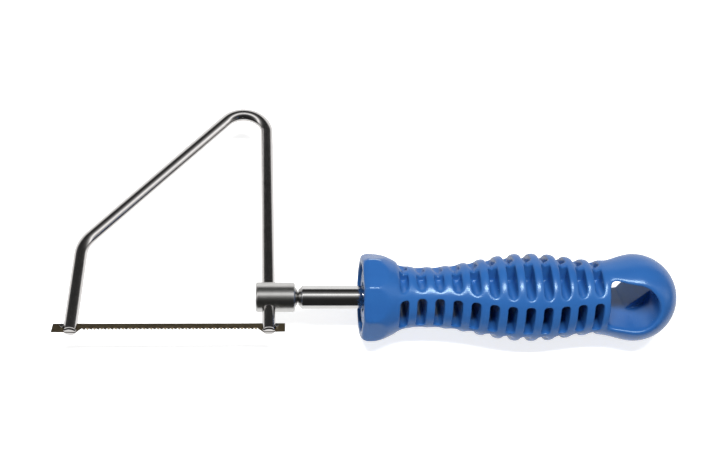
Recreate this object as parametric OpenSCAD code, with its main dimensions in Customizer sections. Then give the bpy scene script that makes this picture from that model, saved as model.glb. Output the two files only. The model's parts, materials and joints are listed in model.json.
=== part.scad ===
/* [Bow] */
// Diameter of the spring-steel wire
wire_d = 5.5; // [4.5:0.1:6.5]
// Distance from the rear leg to where the front leg would stand upright
leg_gap = 80; // [70:1:95]
// How far the legs reach past the handle's axis, towards the teeth
leg_drop = 17; // [15:0.5:18]
// Inward lean of the front leg over its length
front_lean = 1.6; // [0:0.1:4]
// Height of the lower bend's corner above the handle's axis
low_corner_h = 27; // [18:1:34]
// Height of the upper bend's corner above the handle's axis
top_corner_h = 119.6; // [105:1:130]
// Centreline radius of the lower bend
low_bend_r = 15; // [10:1:20]
// Centreline radius of the upper bend
top_bend_r = 10.5; // [8:0.5:13]
// Chamfer round each leg's end
wire_chamfer = 0.7; // [0.3:0.1:1.2]

/* [Blade] */
// Thickness of the blade
blade_t = 0.5; // [0.3:0.05:0.7]
// Height of the untoothed blade ends
blade_h = 3.9; // [3.2:0.1:4.5]
// Overall length of the blade
blade_len = 94; // [90:0.5:98]
// How far the blade runs past the rear leg's centre
blade_tail = 6.6; // [5:0.1:8]
// How far it runs past the front leg's centre, which stands where the blade needs it
blade_nose = 7.4; // [6:0.1:8]
// Slant of the blade's front end
blade_slant = 0.5; // [0:0.1:1]
// Distance from one tooth to the next
tooth_pitch = 1.41; // [1:0.05:2.5]
// Depth of a tooth from tip to gullet
tooth_depth = 0.75; // [0.4:0.05:1]
// How far the tooth tips stay behind the blade ends' lower edge
tooth_rise = 1.1; // [0.5:0.1:1.5]
// Diameter of the cross pins
pin_d = 1.6; // [1.2:0.1:2]
// Length of the cross pins
pin_len = 4.4; // [3:0.1:5.4]

/* [Clamp head] */
// Diameter of the clamp head
head_d = 12.4; // [11:0.1:15]
// Head length in front of the leg's centre
head_front = 5.4; // [4.5:0.1:8]
// Head length behind the leg's centre
head_rear = 10.9; // [8:0.1:14]
// Length of the cone that ends the head behind
nose_len = 1.1; // [0.6:0.1:2]
// Diameter of that cone where it leaves the head
nose_d = 9.2; // [8:0.1:10]
// Chamfer at the head's ends
head_chamfer = 0.6; // [0.2:0.1:1.2]
// Countersink round the mouths of the cross bore
bore_chamfer = 0.45; // [0.2:0.05:0.7]

/* [Spindle] */
// Diameter of the polished shank
shank_d = 9.8; // [8.5:0.1:11]
// Bare thread that shows between head and shank
neck_len = 0.3; // [0.2:0.1:4]
// Outer diameter of the thread
thread_d = 5; // [4:0.5:6]
// Pitch of the thread
thread_pitch = 0.8; // [0.7:0.05:1]
// Thickness of the pressure pad
pad_t = 1.2; // [0.8:0.1:1.8]
// Width across the flats of the hexagonal tang
tang_af = 8; // [6:0.5:8]
// Diameter of the groove round the tang, which keeps it from pulling out
tang_core_d = 6; // [4:0.5:6]
// Length of that groove
tang_groove = 2.4; // [1.5:0.1:3]
// Plastic left between the tang's end and the first window
tang_cover = 1; // [0.6:0.1:2]

/* [Handle] */
// Distance from the leg's centre to the handle's front rim
rim_x = 38.3; // [35:0.5:50]
// Overall length of the handle
handle_len = 135.3; // [125:0.5:150]
// Width of the octagonal flange across its flats
flange_af = 35; // [33:0.5:37]
// Diameter over the flange's rounded corners
flange_d = 37.6; // [36:0.2:38.4]
// Waist diameter
waist_d = 25.5; // [24:0.5:30]
// Palm swell diameter
palm_d = 37.2; // [33:0.5:42]
// Neck diameter in front of the ball end
neck_d = 31.7; // [28:0.5:34]
// Ball end diameter
ball_d = 37.2; // [34:0.5:42]
// Number of windows along the grip
windows = 12; // [8:1:12]
// Distance from one window to the next
window_pitch = 7.4; // [6.5:0.1:7.4]
// Width of a window along the handle
window_w = 3.8; // [3:0.1:4.2]
// Distance between the two long webs
web_gap = 12.9; // [12:0.1:15]
// Thickness of each long web
web_t = 2.85; // [1.5:0.05:3]
// Thickness of the plate that closes the side pockets at the mould's parting plane
plate_t = 3; // [2:0.1:4]

/* [Hanging eye] */
// Length of the eye along the handle
eye_len = 20.5; // [16:0.5:22]
// Width of the eye
eye_w = 19; // [14:0.5:19]
// Sideways offset of the eye's middle
eye_offset = 3.7; // [0:0.1:3.8]
// Size of the diagonal corner in the eye's far half
eye_corner = 9; // [5:0.5:9]

/* [Fits] */
// Radial clearance of the wire in the head's cross bore
wire_clear = 0.1; // [0.02:0.01:0.1]
// Radial clearance of the thread in the head
thread_clear = 0.05; // [0.01:0.01:0.1]
// Clearance of the blade in the leg slots, each side
slot_clear = 0.12; // [0.05:0.01:0.2]
// Clearance of pressed parts in their seats
press_clear = 0.01; // [0.005:0.005:0.02]

/* [Hidden] */
$fn = 64;
cut = 1;

// Bow: a path of two legs, an oblique span and two bends in one plane
wire_r = wire_d / 2;
bend_swell = 0.01;
seam = 0.05;
x_low = blade_tail - blade_len;
front_foot = [x_low + blade_nose, -leg_drop];
low_corner = [-leg_gap + front_lean, low_corner_h];
lean_rate = (low_corner.x - front_foot.x) / (low_corner_h + leg_drop);
top_corner = [0, top_corner_h];
rear_foot = [0, -leg_drop];
function unit(v) = v / norm(v);
function turn_between(a, b, c) = acos(unit(b - a) * unit(c - b));
function bend_tangent(a, b, c, r) = r * tan(turn_between(a, b, c) / 2);
low_tangent = bend_tangent(front_foot, low_corner, top_corner, low_bend_r);
top_tangent = bend_tangent(low_corner, top_corner, rear_foot, top_bend_r);
low_in = low_corner - low_tangent * unit(low_corner - front_foot);
low_out = low_corner + low_tangent * unit(top_corner - low_corner);
top_in = top_corner - top_tangent * unit(top_corner - low_corner);
top_out = top_corner + top_tangent * unit(rear_foot - top_corner);
bow_top = top_out.y + top_bend_r + wire_r;

// Blade: its long edges and where the pins cross it
blade_low = -leg_drop + slot_clear;
blade_back = blade_low + blade_h;
blade_mid = blade_low + blade_h / 2;
slot_w = blade_t + 2 * slot_clear;
pin_out = wire_r + pin_d / 4;
front_pin_x = front_foot.x + lean_rate * (blade_mid + leg_drop) - pin_out;
rear_pin_x = pin_out;
teeth = floor((-front_foot.x - 2 * (wire_r + pin_d)) / tooth_pitch);
teeth_start = (front_foot.x - teeth * tooth_pitch) / 2;
tip_y = blade_low + tooth_rise;
gullet_y = tip_y + tooth_depth;
tooth_lean_share = 0.65;
tip_flat_share = 0.12;

// Spindle: stations along its axis
head_end = head_rear + nose_len;
nose_wall = 0.4;
shank_x = head_end + neck_len;
shank_chamfer = 1.6;
pad_x = wire_r + wire_clear;
stem_x = pad_x + pad_t;
thread_depth_share = 0.3;
ridge_shares = [0.1, 0.4, 0.6, 0.9];
core_r = thread_d / 2 - thread_pitch * thread_depth_share;
pad_r = core_r;

// Handle: distances behind the rim, then the stations they give
taper_from = 4.2;
waist_from = 22.5;
waist_to = 28;
palm_from = 70;
palm_to = 73.5;
neck_from = 101;
windows_from = 17.1;
eye_from = 103.5;
boss_bore_len = 6;
rim_round = 2.6;
taper_start = rim_x + taper_from;
waist_start = rim_x + waist_from;
waist_end = rim_x + waist_to;
palm_start = rim_x + palm_from;
palm_end = rim_x + palm_to;
neck_at = rim_x + neck_from;
first_window = rim_x + windows_from;
eye_front = rim_x + eye_from;
socket_x = rim_x + boss_bore_len;
tang_len = first_window - window_w / 2 - tang_cover - socket_x;
handle_end = rim_x + handle_len;
ball_x = handle_end - ball_d / 2;
blend_steps = 5;
ball_steps = 10;
rim_steps = 3;
flange_fall = 0.9;
flange_ease = 0.3;
corner_steps = 3;
round_steps = 8;
eye_steps = 16;
mould_turn = 69;
eye_ledge = 0.4;
flange_flat_len = 14;
recess_wall = 3.2;
recess_depth = 8;
boss_d = 22;
boss_drop = 1;
boss_bore_d = 12.6;
web_out = web_gap / 2 + web_t;
window_corner = 1.4;

// Placing: middle of the outline in X and Y, lowest point at zero height
shift = [-(x_low + handle_end) / 2, -(bow_top - ball_d / 2) / 2, ball_d / 2];

module placed() {
    translate(shift) children();
}

module along_x(x0) {
    translate([x0, 0, 0]) rotate([0, 90, 0]) children();
}

// A straight run, which reaches a seam's width into the bend at either end
module straight(from, to, seam_in, seam_out) {
    way = unit(to - from);
    start = from - seam_in * way;
    translate([start.x, start.y, 0])
        rotate([0, 0, atan2(way.y, way.x)])
            rotate([0, 90, 0])
                cylinder(h = norm(to - from) + seam_in + seam_out, r = wire_r);
}

// A bend turns clockwise, so its centre lies to the right of the way in;
// bending swells the wire a touch
module bend(entry, way, r, turn) {
    heading = atan2(way.y, way.x);
    centre = entry + r * [sin(heading), -cos(heading)];
    translate([centre.x, centre.y, 0])
        rotate([0, 0, heading + 90 - turn])
            rotate_extrude(angle = turn)
                translate([r, 0]) circle(r = wire_r + bend_swell);
}

module foot_chamfer(foot, lean) {
    translate([foot.x, foot.y, 0])
        rotate([90, 0, -lean])
            rotate_extrude()
                polygon([[wire_r - wire_chamfer, 0], [wire_r + cut, 0],
                         [wire_r + cut, -wire_chamfer - cut],
                         [wire_r, -wire_chamfer]]);
}

module foot_slot(foot) {
    translate([foot.x - wire_r - cut, foot.y - cut, -slot_w / 2])
        cube([wire_d + 2 * cut, blade_h + 2 * slot_clear + cut, slot_w]);
}

module pin_notch(x) {
    translate([x, blade_mid, -wire_r])
        cylinder(h = wire_d, r = pin_d / 2 + slot_clear, $fn = 32);
}

module bow() {
    color("#8f9094") placed()
    difference() {
        union() {
            straight(front_foot, low_in, 0, seam);
            bend(low_in, low_corner - front_foot, low_bend_r,
                 turn_between(front_foot, low_corner, top_corner));
            straight(low_out, top_in, seam, seam);
            bend(top_in, top_corner - low_corner, top_bend_r,
                 turn_between(low_corner, top_corner, rear_foot));
            straight(top_out, rear_foot, seam, 0);
        }
        foot_slot(front_foot);
        foot_slot(rear_foot);
        pin_notch(front_pin_x);
        pin_notch(rear_pin_x);
        foot_chamfer(front_foot, atan(lean_rate));
        foot_chamfer(rear_foot, 0);
    }
}

// One tooth: gullet, raked front, small flat tip, back
function tooth_points(i) = [
    [teeth_start + i * tooth_pitch, gullet_y],
    [teeth_start + (i + tooth_lean_share) * tooth_pitch, tip_y],
    [teeth_start + (i + tooth_lean_share + tip_flat_share) * tooth_pitch, tip_y]
];

module blade() {
    last_tooth = teeth_start + teeth * tooth_pitch;
    outline = concat(
        [[x_low + blade_slant, blade_back], [x_low, blade_low],
         [teeth_start - 2 * tooth_rise, blade_low], [teeth_start - tooth_pitch / 2, tip_y]],
        [for (i = [0 : teeth - 1]) each tooth_points(i)],
        [[last_tooth, gullet_y], [last_tooth + tooth_pitch / 2, tip_y],
         [last_tooth + 2 * tooth_rise, blade_low], [blade_tail, blade_low],
         [blade_tail, blade_back]]);
    color("#6b6253") placed()
    difference() {
        translate([0, 0, -blade_t / 2]) linear_extrude(blade_t) polygon(outline);
        for (x = [front_pin_x, rear_pin_x])
            translate([x, blade_mid, -cut])
                cylinder(h = 2 * cut, r = pin_d / 2 + press_clear, $fn = 32);
    }
}

module blade_pin(x) {
    color("#a9aaad") placed()
        translate([x, blade_mid, -pin_len / 2])
            cylinder(h = pin_len, r = pin_d / 2, $fn = 32);
}

module front_blade_pin() {
    blade_pin(front_pin_x);
}

module rear_blade_pin() {
    blade_pin(rear_pin_x);
}

module clamp_head() {
    head_r = head_d / 2;
    bore_r = wire_r + wire_clear;
    hole_r = thread_d / 2 + thread_clear;
    color("#9a9b9e") placed()
    difference() {
        along_x(-head_front) rotate_extrude()
            polygon([[0, 0], [head_r - head_chamfer, 0], [head_r, head_chamfer],
                     [head_r, head_front + head_rear - head_chamfer],
                     [head_r - head_chamfer, head_front + head_rear],
                     [nose_d / 2, head_front + head_rear],
                     [hole_r + nose_wall, head_front + head_end],
                     [0, head_front + head_end]]);
        rotate([90, 0, 0]) cylinder(h = head_d + 2 * cut, r = bore_r, center = true);
        for (side = [0, 180]) rotate([side, 0, 0])
            translate([0, head_r - 2 * bore_chamfer, 0]) rotate([-90, 0, 0])
                cylinder(h = 3 * bore_chamfer, r1 = bore_r - bore_chamfer,
                         r2 = bore_r + 2 * bore_chamfer);
        along_x(0) cylinder(h = head_end + cut, r = hole_r);
    }
}

module pressure_pad() {
    color("#b08d4a") placed()
        along_x(pad_x) cylinder(h = pad_t, r = pad_r);
}

// Thread ridges drawn as rings, one at each pitch
function ridge_points(i) = [
    [core_r, (i + ridge_shares[0]) * thread_pitch],
    [thread_d / 2, (i + ridge_shares[1]) * thread_pitch],
    [thread_d / 2, (i + ridge_shares[2]) * thread_pitch],
    [core_r, (i + ridge_shares[3]) * thread_pitch]
];

// The hexagonal tang with its groove, grown by a clearance for its socket
module tang(clear) {
    half_len = (tang_len - tang_groove) / 2;
    rotate([0, 0, 30]) {
        cylinder(h = half_len, d = (tang_af + 2 * clear) / cos(30), $fn = 6);
        cylinder(h = tang_len, d = tang_core_d + 2 * clear);
        translate([0, 0, half_len + tang_groove - clear])
            cylinder(h = half_len + clear, d = (tang_af + 2 * clear) / cos(30), $fn = 6);
    }
}

module spindle() {
    stem_len = shank_x - stem_x;
    ridges = floor(stem_len / thread_pitch) - 1;
    shank_r = shank_d / 2;
    outline = concat(
        [[0, 0], [core_r, 0]],
        [for (i = [0 : ridges]) each ridge_points(i)],
        [[core_r, stem_len], [shank_r - shank_chamfer, stem_len],
         [shank_r, stem_len + shank_chamfer], [shank_r, socket_x - stem_x],
         [0, socket_x - stem_x]]);
    color("#8b8c90") placed() {
        along_x(stem_x) rotate_extrude() polygon(outline);
        along_x(socket_x) tang(0);
    }
}

// Radius of the turned envelope at x: four waves between flat stretches
function eased(a, b, t) = a + (b - a) * (1 - cos(180 * min(1, max(0, t)))) / 2;
function envelope_r(x) = (
    x < waist_start ? eased(flange_d, waist_d, (x - taper_start) / (waist_start - taper_start)) :
    x < palm_start ? eased(waist_d, palm_d, (x - waist_end) / (palm_start - waist_end)) :
    x < neck_at ? eased(palm_d, neck_d, (x - palm_end) / (neck_at - palm_end)) :
    eased(neck_d, ball_d, (x - neck_at) / (ball_x - neck_at))) / 2;
// Stations of the envelope: none lies in a window, where a plate would meet it
function window_x(i) = first_window + i * window_pitch;
function disc_x(i) = window_x(i) - window_pitch / 2;
function station_points() = [
    for (x = concat([taper_start, (taper_start + disc_x(0)) / 2],
                    [for (i = [0 : windows]) disc_x(i)],
                    [for (i = [1 : blend_steps])
                        disc_x(windows) + (ball_x - disc_x(windows)) * i / blend_steps]))
        [envelope_r(x), x]
];
function ball_points() = [
    for (i = [1 : ball_steps]) let (a = 90 * i / ball_steps)
        [ball_d / 2 * cos(a), ball_x + ball_d / 2 * sin(a)]
];

module turned() {
    rim = [for (p = arc([0, 0], rim_round, 180, 90, rim_steps))
        [flange_d / 2 - rim_round + p.y, rim_x + rim_round + p.x]];
    rotate([0, 90, 0]) rotate_extrude()
        polygon(concat([[0, rim_x]], rim, station_points(), ball_points()));
}

module in_mould() {
    rotate([mould_turn, 0, 0]) children();
}

// What the flange's eight flats leave out: each falls a little towards the rim and
// eases towards the waist
module flange_flats() {
    flat_end = rim_x + flange_flat_len;
    for (k = [0 : 7]) rotate([45 * k, 0, 0])
        linear_extrude(flange_d, center = true)
            polygon([[rim_x - cut, flange_af / 2 - flange_fall],
                     [rim_x, flange_af / 2 - flange_fall], [rim_x + rim_round, flange_af / 2],
                     [taper_start, flange_af / 2], [flat_end, flange_af / 2 - flange_ease],
                     [flat_end, flange_d], [rim_x - cut, flange_d]]);
}

module front_recess() {
    along_x(rim_x - cut) difference() {
        cylinder(h = recess_depth + cut, r = flange_af / 2 - recess_wall);
        translate([0, 0, boss_drop + cut]) cylinder(h = recess_depth, d = boss_d);
    }
    along_x(rim_x - cut) cylinder(h = socket_x - rim_x + cut, d = boss_bore_d);
    along_x(socket_x) tang(press_clear);
}

function arc(centre, r, from, to, steps) = [
    for (i = [0 : steps]) let (a = from + (to - from) * i / steps)
        centre + r * [cos(a), sin(a)]
];

// A window between the webs, with rounded corners
module central_window(x) {
    across = window_w / 2 - window_corner;
    along = web_gap / 2 - window_corner;
    translate([x, 0, -ball_d]) linear_extrude(2 * ball_d)
        polygon([for (k = [0 : 3])
            let (side = k == 0 || k == 3 ? 1 : -1, end = k < 2 ? 1 : -1)
                each arc([side * across, end * along], window_corner,
                         90 * k, 90 * k + 90, corner_steps)]);
}

// A pocket outside a web, round at its inner end, open at the surface and closed
// by the plate at the mould's parting plane
module side_pocket(x) {
    inner = web_out + window_w / 2;
    translate([x, 0, plate_t / 2]) linear_extrude(ball_d)
        polygon(concat(arc([0, inner], window_w / 2, -180, 0, round_steps),
                       [[window_w / 2, ball_d], [-window_w / 2, ball_d]]));
}

// The eye: a D with its flat end in front; its far half, below a split a little off
// the axis, has a cut corner
function eye_d() = concat([[0, eye_w / 2], [0, -eye_w / 2]],
    arc([eye_len - eye_w / 2, 0], eye_w / 2, -90, 90, eye_steps));
function eye_cut() = concat([[0, eye_w / 2], [0, -eye_w / 2],
                             [eye_len - eye_corner, -eye_w / 2], [eye_len, 0]],
    arc([eye_len - eye_w / 2, 0], eye_w / 2, 180 / eye_steps, 90, eye_steps / 2 - 1));

module hanging_eye() {
    translate([eye_front, eye_offset, 0]) {
        translate([0, 0, -eye_ledge]) linear_extrude(ball_d + eye_ledge) polygon(eye_d());
        translate([0, 0, -ball_d]) linear_extrude(ball_d - eye_ledge) polygon(eye_cut());
    }
}

module handle() {
    color("#2f68b4") placed()
    difference() {
        turned();
        flange_flats();
        front_recess();
        in_mould() {
            for (i = [0 : windows - 1]) {
                central_window(window_x(i));
                for (side = [0, 1], half = [0, 1])
                    mirror([0, side, 0]) mirror([0, 0, half]) side_pocket(window_x(i));
            }
            hanging_eye();
        }
    }
}

bow();
blade();
front_blade_pin();
rear_blade_pin();
clamp_head();
pressure_pad();
spindle();
handle();
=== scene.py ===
# %% [markdown]
# # A fret saw under a studio lamp
# The saw has four kinds of surface: a bent and plated wire, a thin toothed blade, turned steel and one blue
# moulding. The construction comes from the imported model, so nothing here decides a size that something else
# fits. What this script adds is the finish: rounded edges, a real screw thread, set teeth and the materials.

# %% Load the frame
import json
from math import cos, pi, radians, sin
from types import SimpleNamespace

import bmesh
import bpy
from mathutils import Matrix, Vector

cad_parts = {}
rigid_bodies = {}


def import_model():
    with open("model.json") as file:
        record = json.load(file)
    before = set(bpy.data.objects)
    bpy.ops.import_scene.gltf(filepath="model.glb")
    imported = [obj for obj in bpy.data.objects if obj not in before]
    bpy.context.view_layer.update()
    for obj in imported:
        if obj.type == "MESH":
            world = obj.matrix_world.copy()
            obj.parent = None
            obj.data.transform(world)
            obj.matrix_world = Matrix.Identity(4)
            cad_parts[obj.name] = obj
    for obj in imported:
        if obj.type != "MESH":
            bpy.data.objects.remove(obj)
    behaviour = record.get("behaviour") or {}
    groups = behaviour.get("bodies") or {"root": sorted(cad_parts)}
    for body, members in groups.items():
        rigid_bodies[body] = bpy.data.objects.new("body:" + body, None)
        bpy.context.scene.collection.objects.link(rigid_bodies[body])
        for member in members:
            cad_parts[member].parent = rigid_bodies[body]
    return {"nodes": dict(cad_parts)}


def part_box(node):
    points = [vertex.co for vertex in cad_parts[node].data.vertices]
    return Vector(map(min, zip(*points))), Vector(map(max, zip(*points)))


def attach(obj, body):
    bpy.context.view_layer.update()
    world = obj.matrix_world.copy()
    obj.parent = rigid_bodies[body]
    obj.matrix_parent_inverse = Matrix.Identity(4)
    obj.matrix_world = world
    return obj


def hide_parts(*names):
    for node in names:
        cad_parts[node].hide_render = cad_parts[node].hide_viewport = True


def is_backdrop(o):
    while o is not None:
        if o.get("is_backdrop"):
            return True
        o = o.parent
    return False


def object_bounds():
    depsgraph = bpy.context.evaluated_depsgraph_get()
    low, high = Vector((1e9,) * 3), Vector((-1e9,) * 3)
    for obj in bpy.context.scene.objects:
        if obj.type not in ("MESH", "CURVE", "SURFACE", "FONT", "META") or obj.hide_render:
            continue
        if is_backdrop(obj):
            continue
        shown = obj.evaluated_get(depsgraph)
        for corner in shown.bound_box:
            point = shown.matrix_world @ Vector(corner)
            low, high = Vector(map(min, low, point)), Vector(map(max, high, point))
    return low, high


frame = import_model()
cad_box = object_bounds()
print("nodes:", sorted(frame["nodes"]))

# %% [markdown]
# ## Saw millimetres
# Everything is modelled in millimetres from one natural point: where the axis of the bow's rear leg crosses
# the axis of the handle. X runs back along the handle, Y up the bow and Z square to the bow's plane. The
# clamp head carries both axes, so its box gives that point in the frame. One matrix turns saw millimetres
# into frame metres.

# %% The saw's own origin
MM = 0.001
HEAD_FRONT = 5.4
head_low, head_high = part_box("clamp_head")
SAW_ORIGIN = Vector((head_low.x + HEAD_FRONT * MM, (head_low.y + head_high.y) / 2,
                     (head_low.z + head_high.z) / 2))
TO_FRAME = Matrix.Translation(SAW_ORIGIN) @ Matrix.Scale(MM, 4)
print("saw origin, mm:", [round(value / MM, 2) for value in SAW_ORIGIN])

# %% [markdown]
# ## One helper for nodes
# Materials and Geometry Nodes are both built from the same small function. It makes one node, applies its
# settings, and fills its inputs. An input may be a plain value, a socket to link, or a formula written as a
# tuple, such as `("ADD", a, b)`, which becomes a Math node.

# %% Colours and nodes
def linear(hex_colour):
    """An sRGB hex colour as the linear RGBA that a shader wants."""
    shares = [int(hex_colour[i:i + 2], 16) / 255 for i in (1, 3, 5)]
    return tuple(s / 12.92 if s <= 0.04045 else ((s + 0.055) / 1.055) ** 2.4 for s in shares) + (1.0,)


def add(tree, kind, values=None, **settings):
    """Adds a node: settings are its properties, and values its inputs by name or number."""
    made = tree.nodes.new(kind)
    for name, setting in settings.items():
        setattr(made, name, setting)
    for key, value in (values or {}).items():
        if isinstance(value, tuple) and isinstance(value[0], str):
            value = add(tree, "ShaderNodeMath", dict(enumerate(value[1:])), operation=value[0]).outputs[0]
        if isinstance(value, bpy.types.NodeSocket):
            tree.links.new(value, made.inputs[key])
        else:
            made.inputs[key].default_value = value
    return made


# %% [markdown]
# ## Camera
# The photograph was taken with a long lens from above the saw's open side, a little to its left, with the
# camera rolled so that the handle lies level in the picture.

# %% Place the camera
CAMERA_AT = Vector((-11.9, -295.8, 440.3))
LENS_MM, SENSOR_MM = 63.06, 36
CLIP_NEAR, CLIP_FAR = 0.01, 20
AZIMUTH = radians(-9.07)
ELEVATION = radians(52.56)
ROLL = radians(7.53)
towards_camera = Vector((sin(AZIMUTH) * cos(ELEVATION), -cos(AZIMUTH) * cos(ELEVATION), sin(ELEVATION)))
camera_data = bpy.data.cameras.new("camera")
camera_data.lens = LENS_MM
camera_data.sensor_width = SENSOR_MM
camera_data.clip_start, camera_data.clip_end = CLIP_NEAR, CLIP_FAR
camera = bpy.data.objects.new("camera", camera_data)
bpy.context.scene.collection.objects.link(camera)
camera.location = TO_FRAME @ CAMERA_AT
level_view = (-towards_camera).to_track_quat("-Z", "Y").to_matrix()
camera.rotation_euler = (level_view @ Matrix.Rotation(ROLL, 3, "Z")).to_euler()
bpy.context.scene.camera = camera
print("camera at, m:", [round(value, 3) for value in camera.location])

# %% [markdown]
# ## Light
# The saw lies on a white table. The table glows a little for the camera alone, so that it reads as white and
# still takes the saw's soft shadow. Steel doesn't mirror it, because its studio is drawn in the next step.

# %% The table
FLOOR_SIZE, FLOOR_OWN_WHITE = 6.0, 0.76
bpy.context.scene.view_settings.view_transform = "Standard"


def studio_floor():
    material = bpy.data.materials.new("white_table")
    material.use_nodes = True
    tree = material.node_tree
    tree.nodes.clear()
    path = add(tree, "ShaderNodeLightPath")
    paint = add(tree, "ShaderNodeBsdfDiffuse", {"Color": linear("#f2f2f2")})
    for_camera = ("MULTIPLY", path.outputs["Is Camera Ray"], FLOOR_OWN_WHITE)
    glow = add(tree, "ShaderNodeEmission", {"Strength": for_camera})
    both = add(tree, "ShaderNodeAddShader", {0: paint.outputs[0], 1: glow.outputs[0]})
    add(tree, "ShaderNodeOutputMaterial", {"Surface": both.outputs[0]})
    mesh = bpy.data.meshes.new("table")
    half = FLOOR_SIZE / 2
    corners = [(-half, -half, 0), (half, -half, 0), (half, half, 0), (-half, half, 0)]
    mesh.from_pydata(corners, [], [(0, 1, 2, 3)])
    mesh.materials.append(material)
    table = bpy.data.objects.new("table", mesh)
    table.visible_glossy = False
    bpy.context.scene.collection.objects.link(table)
    table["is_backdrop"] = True


studio_floor()
print("table, m across:", FLOOR_SIZE)

# %% [markdown]
# Polished steel has hardly a colour of its own: it shows the studio. What it mirrors is read off the
# photograph and drawn into the world: a white sheet that hangs behind and below the saw, a dark room in
# front, and one soft band of light overhead, which gives the bright line along the shank. Light Path's Is
# Glossy Ray keeps that picture for reflections alone. The camera sees plain white past the table's edge.

# %% The room and what steel sees of it
ROOM_FILL, ROOM_DARK = 0.176, 0.02
SHEET_WAY, SHEET_EDGE, SHEET_NARROWS, SHEET_WHITE = radians(53), 0.1, 0.45, 1.0
BAND_WAY, BAND_WIDTH, BAND_LIGHT, BAND_FALL = radians(10), 1.8, 1.76, 11.0


def mirrored_studio(tree):
    """How bright the studio is in each direction: white sheet, dark room and the band of light."""
    way = add(tree, "ShaderNodeSeparateXYZ", {0: add(tree, "ShaderNodeTexCoord").outputs["Generated"]})
    x, y, z = way.outputs
    behind = ("SUBTRACT", ("MULTIPLY", y, cos(SHEET_WAY)), ("MULTIPLY", z, sin(SHEET_WAY)))
    sheet = add(tree, "ShaderNodeMapRange", {
        "Value": ("SUBTRACT", behind, ("MULTIPLY", ("MULTIPLY", x, x), SHEET_NARROWS)),
        "From Min": -SHEET_EDGE, "From Max": SHEET_EDGE, "To Min": ROOM_DARK, "To Max": SHEET_WHITE},
        interpolation_type="SMOOTHSTEP")
    aside = ("ABSOLUTE", ("ADD", ("MULTIPLY", y, cos(BAND_WAY)), ("MULTIPLY", z, sin(BAND_WAY))))
    near = ("MAXIMUM", ("SUBTRACT", 1.0, ("DIVIDE", aside, BAND_WIDTH)), 0.0)
    band = ("MULTIPLY", BAND_LIGHT, ("POWER", near, BAND_FALL))
    overhead = ("MULTIPLY", band, ("GREATER_THAN", z, 0.0))
    return add(tree, "ShaderNodeMath", {0: sheet.outputs[0], 1: overhead}, operation="ADD").outputs[0]


def studio_room():
    world = bpy.data.worlds.new("room")
    bpy.context.scene.world = world
    world.use_nodes = True
    tree = world.node_tree
    tree.nodes.clear()
    path = add(tree, "ShaderNodeLightPath")
    seen = add(tree, "ShaderNodeMix", {"Factor": path.outputs["Is Glossy Ray"], "A": ROOM_FILL,
                                       "B": mirrored_studio(tree)})
    strength = add(tree, "ShaderNodeMix", {"Factor": path.outputs["Is Camera Ray"], "A": seen.outputs[0],
                                           "B": 1.0})
    back = add(tree, "ShaderNodeBackground", {"Color": linear("#ffffff"), "Strength": strength.outputs[0]})
    add(tree, "ShaderNodeOutputWorld", {"Surface": back.outputs[0]})


studio_room()
print("room fill:", ROOM_FILL, "and mirrored dark:", ROOM_DARK)

# %% [markdown]
# One long narrow lamp hangs almost straight above the saw. It models the plastic and gives its ribs their
# small bright spots.

# %% The lamp
LAMP_DISTANCE, LAMP_ELEVATION = 1.1, radians(81)
LAMP_SIZE, LAMP_POWER = (0.75, 0.13), 14.5


def soft_lamp(name, at, size, power):
    """A rectangular lamp that shines at the frame's origin."""
    data = bpy.data.lights.new(name, "AREA")
    data.shape = "RECTANGLE"
    data.size, data.size_y = size
    data.energy = power
    lamp = bpy.data.objects.new(name, data)
    bpy.context.scene.collection.objects.link(lamp)
    lamp.location = at
    lamp.rotation_euler = Vector(at).to_track_quat("Z", "Y").to_euler()
    print(name, "at, m:", [round(value, 2) for value in at])
    return lamp


lamp_at = (0, -LAMP_DISTANCE * cos(LAMP_ELEVATION), LAMP_DISTANCE * sin(LAMP_ELEVATION))
overhead = soft_lamp("overhead", lamp_at, LAMP_SIZE, LAMP_POWER)

# %% [markdown]
# ## Materials
# Every material is one Principled shader. What makes a surface look real is mostly how its gloss and its
# height vary over small distances, so one helper gives a noise whose grains have a size in millimetres, and
# which may be stretched along an axis into the lines that drawing, turning or grinding leave.

# %% Material helpers
def new_material(name, **inputs):
    """A material with one Principled shader; inputs are set on its own sockets."""
    material = bpy.data.materials.new(name)
    material.use_nodes = True
    tree = material.node_tree
    tree.nodes.clear()
    shader = add(tree, "ShaderNodeBsdfPrincipled", inputs)
    add(tree, "ShaderNodeOutputMaterial", {"Surface": shader.outputs[0]})
    return material, tree, shader


def grain(tree, size_mm, detail=2.0):
    """Noise on object coordinates with grains of a size in mm, given along X, Y and Z."""
    place = add(tree, "ShaderNodeTexCoord").outputs["Object"]
    scale = tuple(1 / (size * MM) for size in size_mm)
    sized = add(tree, "ShaderNodeMapping", {"Vector": place, "Scale": scale})
    noise = add(tree, "ShaderNodeTexNoise", {"Vector": sized.outputs[0], "Scale": 1.0, "Detail": detail})
    return noise.outputs[0]


def tint(tree, shader, share, dark, light):
    """Base colour between two hex colours, by a noise; the mixed colour is returned."""
    ends = {"Factor": share, "A": linear(dark), "B": linear(light)}
    mix = add(tree, "ShaderNodeMix", ends, data_type="RGBA")
    tree.links.new(mix.outputs[2], shader.inputs["Base Color"])
    return mix.outputs[2]


def gloss(tree, shader, share, low, high):
    """Roughness between two values, by a noise."""
    spread = add(tree, "ShaderNodeMapRange", {"Value": share, "To Min": low, "To Max": high})
    tree.links.new(spread.outputs[0], shader.inputs["Roughness"])


def relief(tree, shader, height, depth_mm, strength=1.0):
    """Surface height from a noise, with its depth in mm."""
    bump = add(tree, "ShaderNodeBump", {"Height": height, "Distance": depth_mm * MM, "Strength": strength})
    tree.links.new(bump.outputs[0], shader.inputs["Normal"])


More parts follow.
